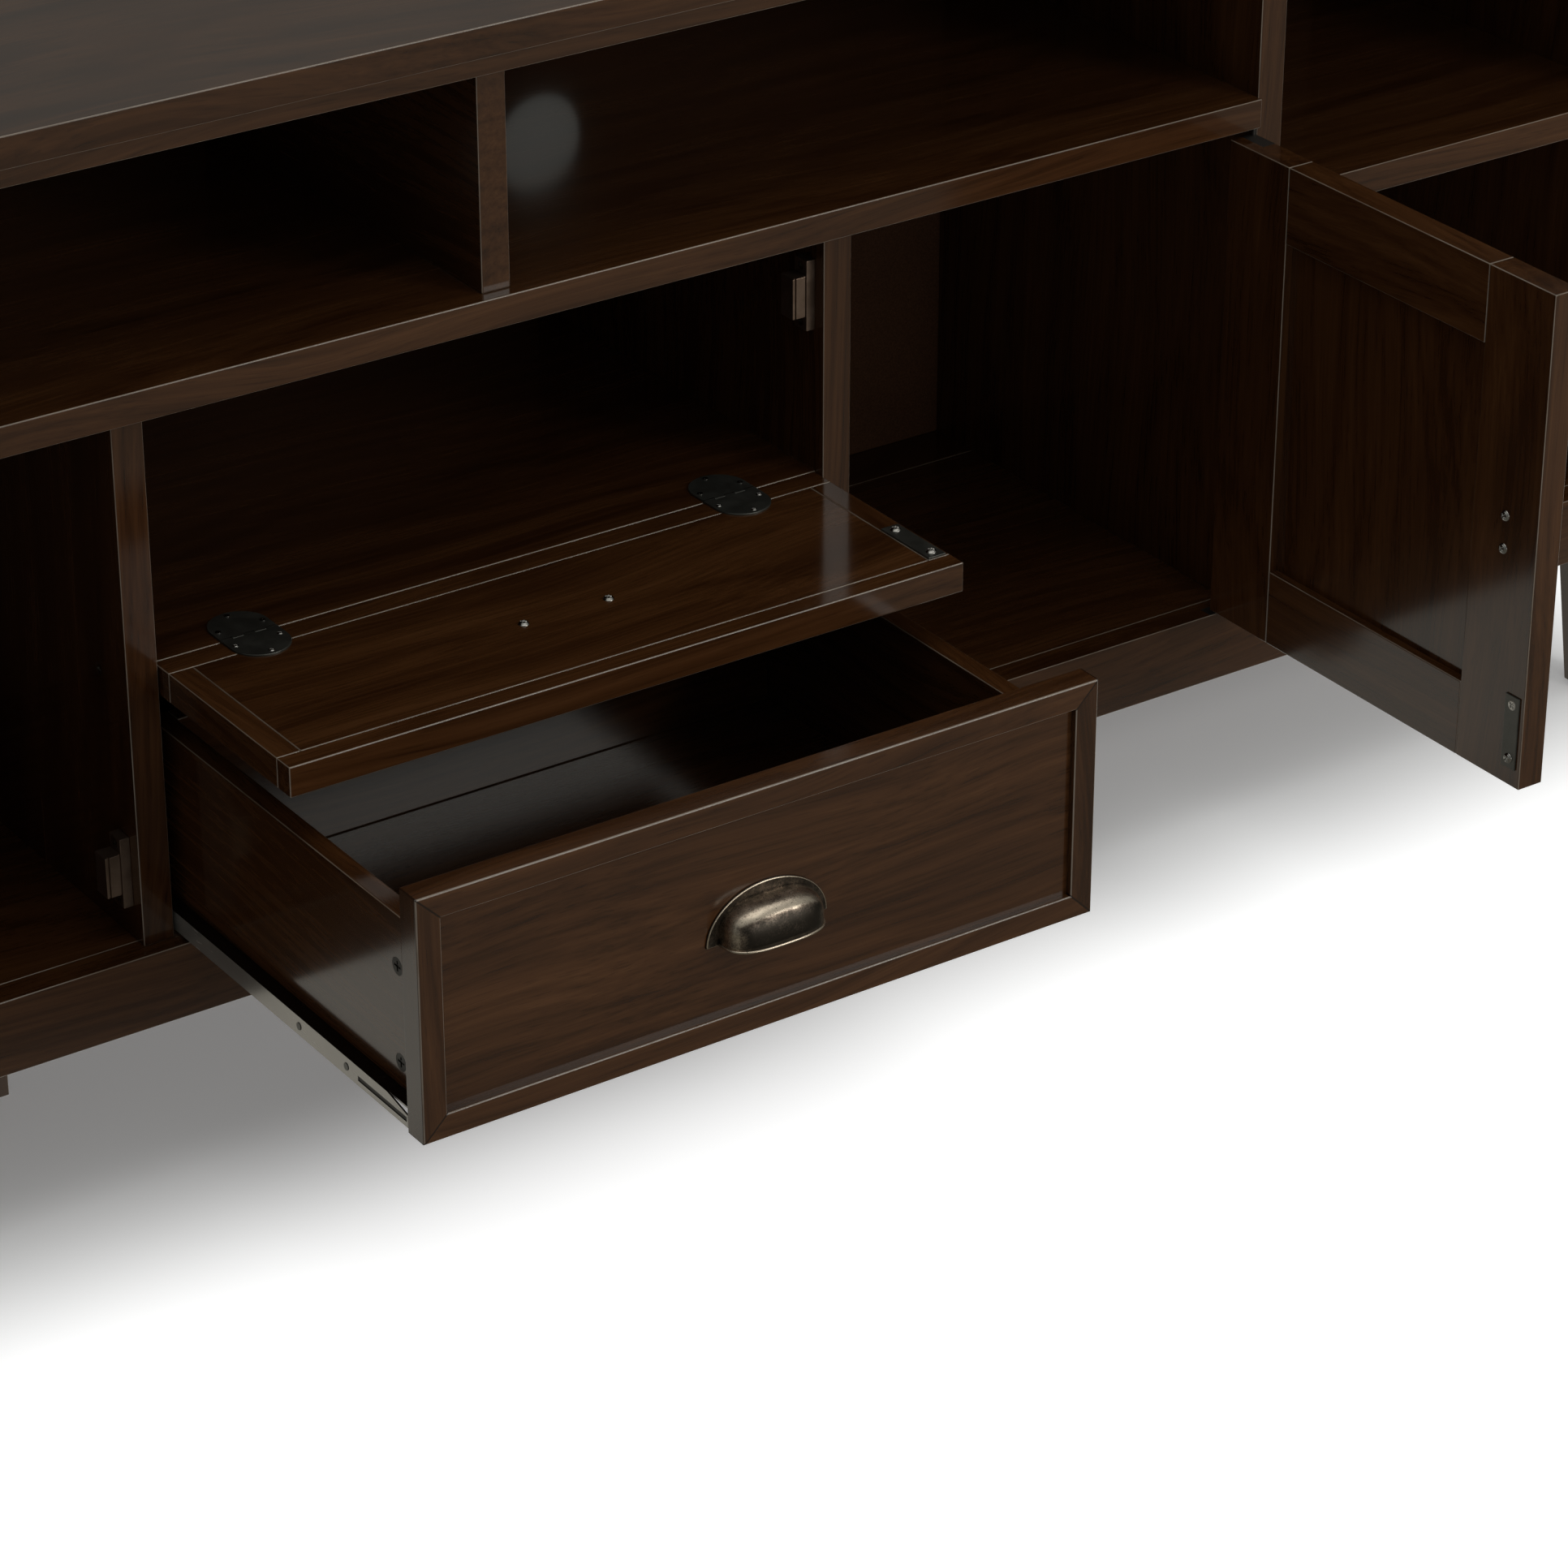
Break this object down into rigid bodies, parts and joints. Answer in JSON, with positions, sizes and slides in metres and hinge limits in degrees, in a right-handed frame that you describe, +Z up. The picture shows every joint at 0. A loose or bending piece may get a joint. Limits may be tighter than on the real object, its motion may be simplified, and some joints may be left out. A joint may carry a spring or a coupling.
{
  "type": "tv stand",
  "caption": "Low, wide media cabinet on tapered legs with open shelves, hinged doors, a drop-down flap and a drawer on side runners below it.",
  "frame": {"origin": "on the floor under the middle of the box that the opened cabinet fills", "axes": "+X along the front to the viewer's right, +Y from the front to the back, +Z up"},
  "size_m": [2, 0.705, 0.7435],
  "materials": {
    "walnut": "stained, satin lacquer",
    "back_board": "matte hardboard",
    "bronze": "antique bronze, worn bright on the edges",
    "gunmetal": "dull plated",
    "screw_steel": "bright plated",
    "runner_steel": "satin grey",
    "roller_plastic": "matte",
    "catch_plastic": "matte brown",
    "cam_zinc": "dark plated"
  },
  "bodies": {
    "cabinet": {"top_panel": "walnut", "top_front_rail": "walnut", "left_side_panel": "walnut", "right_side_panel": "walnut", "left_upright": "walnut", "right_upright": "walnut", "mid_shelf": "walnut", "upper_divider": "walnut", "left_divider": "walnut", "right_divider": "walnut", "centre_shelf": "walnut", "left_end_shelf": "walnut", "right_end_shelf": "walnut", "bottom_panel": "walnut", "bottom_back_rail": "walnut", "front_apron": "walnut", "back_apron": "walnut", "end_aprons": "walnut", "back_panel": "back_board", "legs": "walnut", "magnetic_catches": "catch_plastic", "carcass_screws": "screw_steel", "shelf_screws": "screw_steel", "cabinet_runners": "runner_steel", "shelf_hinge_leaves": "gunmetal", "door_fixed_pivots": "gunmetal"},
    "cabinet_roller_pair": {"cabinet_rollers": "roller_plastic"},
    "drawer": {"drawer_panel": "walnut", "drawer_rails": "walnut", "drawer_stiles": "walnut", "drawer_left_side": "walnut", "drawer_right_side": "walnut", "drawer_back": "walnut", "drawer_bottom": "walnut", "drawer_pull": "bronze", "drawer_cams": "cam_zinc", "drawer_screws": "screw_steel", "drawer_runners": "runner_steel"},
    "drawer_roller_pair": {"drawer_rollers": "roller_plastic"},
    "flap": {"flap_panel": "walnut", "flap_rails": "walnut", "flap_stiles": "walnut", "flap_pull": "bronze", "flap_screws": "screw_steel", "flap_strike_plate": "gunmetal", "flap_hinge_leaves": "gunmetal"},
    "left_door": {"left_door_stiles": "walnut", "left_door_rails": "walnut", "left_door_panel": "walnut", "left_door_pull": "bronze", "left_door_screws": "screw_steel", "left_door_strike_plate": "gunmetal", "left_door_pivots": "gunmetal"},
    "right_door": {"right_door_stiles": "walnut", "right_door_rails": "walnut", "right_door_panel": "walnut", "right_door_pull": "bronze", "right_door_screws": "screw_steel", "right_door_strike_plate": "gunmetal", "right_door_pivots": "gunmetal"}
  },
  "joints": [
    {"name": "drawer_slide", "type": "slide", "parent": "cabinet", "child": "drawer", "axis": [0, 1, 0], "range_m": [0, 0.29595]},
    {"name": "flap_hinge", "type": "hinge", "parent": "cabinet", "child": "flap", "pos_m": [0, -0.0045, 0.3655], "axis": [-1, 0, 0], "range_deg": [0, 90]},
    {"name": "right_door_hinge", "type": "hinge", "parent": "cabinet", "child": "right_door", "pos_m": [0.6075, -0.022, 0.3535], "axis": [0, 0, -1], "range_deg": [-20, 90]},
    {"name": "left_door_hinge", "type": "hinge", "parent": "cabinet", "child": "left_door", "pos_m": [-0.6075, -0.022, 0.3535], "axis": [0, 0, 1], "range_deg": [-20, 90]},
    {"name": "cabinet_roller_spin", "type": "hinge", "parent": "cabinet", "child": "cabinet_roller_pair", "pos_m": [0, 0.00505, 0.18195], "axis": [1, 0, 0], "continuous": true},
    {"name": "drawer_roller_spin", "type": "hinge", "parent": "drawer", "child": "drawer_roller_pair", "pos_m": [0, 0.02055, 0.17905], "axis": [1, 0, 0], "continuous": true}
  ]
}
